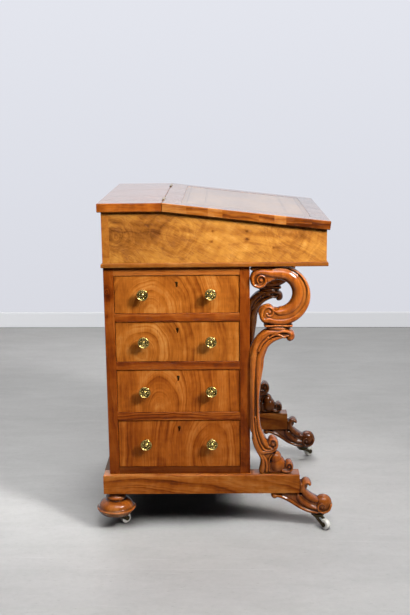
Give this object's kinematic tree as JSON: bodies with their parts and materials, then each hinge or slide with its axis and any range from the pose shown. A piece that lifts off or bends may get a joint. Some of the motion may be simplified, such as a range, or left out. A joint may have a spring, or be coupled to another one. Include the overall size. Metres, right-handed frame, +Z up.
{
  "type": "davenport desk",
  "caption": "Small walnut writing desk with a sloping hinged leather-topped lid over a box, side drawers in a pedestal, carved scroll front supports, bun and scroll feet, and swivel castors.",
  "frame": {"origin": "on the floor, under the middle of the whole object, from bun feet to scroll feet and from side to side", "axes": "+Z up, +X towards the sitter (the low edge of the lid), -Y the sitter's left, where the drawers open"},
  "size_m": [0.6054, 0.572, 0.843],
  "materials": {
    "walnut": "polished red-brown walnut",
    "figured_walnut": "polished figured walnut veneer",
    "carved_walnut": "polished carved walnut",
    "drawer_lining": "unpolished drawer lining wood",
    "inner_wood": "waxed pale interior wood",
    "brass": "polished, lightly aged brass",
    "lock_brass": "dull brass lock cases",
    "china": "glazed white china",
    "leather": "worn tan writing leather"
  },
  "bodies": {
    "desk": {"base_cross_rails": "walnut", "pedestal_back_panel": "figured_walnut", "pedestal_front_panel": "figured_walnut", "pedestal_right_panel": "walnut", "pedestal_bottom_board": "walnut", "drawer_rails": "walnut", "drawer_runners": "drawer_lining", "false_drawer_rails": "walnut", "false_drawer_fronts": "figured_walnut", "false_drawer_knobs": "brass", "box_floor": "walnut", "box_back": "figured_walnut", "box_front": "figured_walnut", "box_bead": "walnut", "top_board": "figured_walnut", "lid_lock": "lock_brass", "hinge_top_leaves": "brass", "pigeonhole_nest": "inner_wood", "castor_sockets": "brass", "runner_left": "figured_walnut", "bun_foot_left": "carved_walnut", "scroll_foot_left": "carved_walnut", "support_scroll_left": "carved_walnut", "support_stem_left": "carved_walnut", "box_side_left": "figured_walnut", "runner_right": "figured_walnut", "bun_foot_right": "carved_walnut", "scroll_foot_right": "carved_walnut", "support_scroll_right": "carved_walnut", "support_stem_right": "carved_walnut", "box_side_right": "figured_walnut"},
    "lid": {"lid_board": "figured_walnut", "writing_leather": "leather", "hinge_lid_leaves": "brass"},
    "inner_left": {"inner_drawer_left": "inner_wood"},
    "inner_right": {"inner_drawer_right": "inner_wood"},
    "drawer_1": {"drawer_1_front": "figured_walnut", "drawer_1_carcase": "drawer_lining", "drawer_1_knobs": "brass", "drawer_1_lock": "lock_brass"},
    "drawer_2": {"drawer_2_front": "figured_walnut", "drawer_2_carcase": "drawer_lining", "drawer_2_knobs": "brass", "drawer_2_lock": "lock_brass"},
    "drawer_3": {"drawer_3_front": "figured_walnut", "drawer_3_carcase": "drawer_lining", "drawer_3_knobs": "brass", "drawer_3_lock": "lock_brass"},
    "drawer_4": {"drawer_4_front": "figured_walnut", "drawer_4_carcase": "drawer_lining", "drawer_4_knobs": "brass", "drawer_4_lock": "lock_brass"},
    "fork_back_left": {"castor_fork_back_left": "brass"},
    "wheel_back_left": {"castor_wheel_back_left": "china"},
    "fork_back_right": {"castor_fork_back_right": "brass"},
    "wheel_back_right": {"castor_wheel_back_right": "china"},
    "fork_front_left": {"castor_fork_front_left": "brass"},
    "wheel_front_left": {"castor_wheel_front_left": "china"},
    "fork_front_right": {"castor_fork_front_right": "brass"},
    "wheel_front_right": {"castor_wheel_front_right": "china"}
  },
  "joints": [
    {"name": "lid_hinge", "type": "hinge", "parent": "desk", "child": "lid", "pos_m": [-0.11675, 0, 0.84], "axis": [0, -1, 0], "range_deg": [0, 100]},
    {"name": "drawer_1_slide", "type": "slide", "parent": "desk", "child": "drawer_1", "axis": [0, -1, 0], "range_m": [0, 0.33]},
    {"name": "drawer_2_slide", "type": "slide", "parent": "desk", "child": "drawer_2", "axis": [0, -1, 0], "range_m": [0, 0.33]},
    {"name": "drawer_3_slide", "type": "slide", "parent": "desk", "child": "drawer_3", "axis": [0, -1, 0], "range_m": [0, 0.33]},
    {"name": "drawer_4_slide", "type": "slide", "parent": "desk", "child": "drawer_4", "axis": [0, -1, 0], "range_m": [0, 0.33]},
    {"name": "inner_left_slide", "type": "slide", "parent": "desk", "child": "inner_left", "axis": [1, 0, 0], "range_m": [0, 0.09]},
    {"name": "inner_right_slide", "type": "slide", "parent": "desk", "child": "inner_right", "axis": [1, 0, 0], "range_m": [0, 0.09]},
    {"name": "swivel_back_left", "type": "hinge", "parent": "desk", "child": "fork_back_left", "pos_m": [-0.25275, -0.236, 0.036], "axis": [0, 0, 1], "continuous": true},
    {"name": "roll_back_left", "type": "hinge", "parent": "fork_back_left", "child": "wheel_back_left", "pos_m": [-0.23162, -0.21763, 0.014], "axis": [-0.6561, 0.7547, 0], "continuous": true},
    {"name": "swivel_back_right", "type": "hinge", "parent": "desk", "child": "fork_back_right", "pos_m": [-0.25275, 0.236, 0.036], "axis": [0, 0, 1], "continuous": true},
    {"name": "roll_back_right", "type": "hinge", "parent": "fork_back_right", "child": "wheel_back_right", "pos_m": [-0.26881, 0.21306, 0.014], "axis": [0.8192, -0.5736, 0], "continuous": true},
    {"name": "swivel_front_left", "type": "hinge", "parent": "desk", "child": "fork_front_left", "pos_m": [0.26675, -0.243, 0.036], "axis": [0, 0, 1], "continuous": true},
    {"name": "roll_front_left", "type": "hinge", "parent": "fork_front_left", "child": "wheel_front_left", "pos_m": [0.28437, -0.26476, 0.014], "axis": [0.7771, 0.6293, 0], "continuous": true},
    {"name": "swivel_front_right", "type": "hinge", "parent": "desk", "child": "fork_front_right", "pos_m": [0.26675, 0.243, 0.036], "axis": [0, 0, 1], "continuous": true},
    {"name": "roll_front_right", "type": "hinge", "parent": "fork_front_right", "child": "wheel_front_right", "pos_m": [0.28689, 0.26245, 0.014], "axis": [-0.6947, 0.7193, 0], "continuous": true}
  ]
}
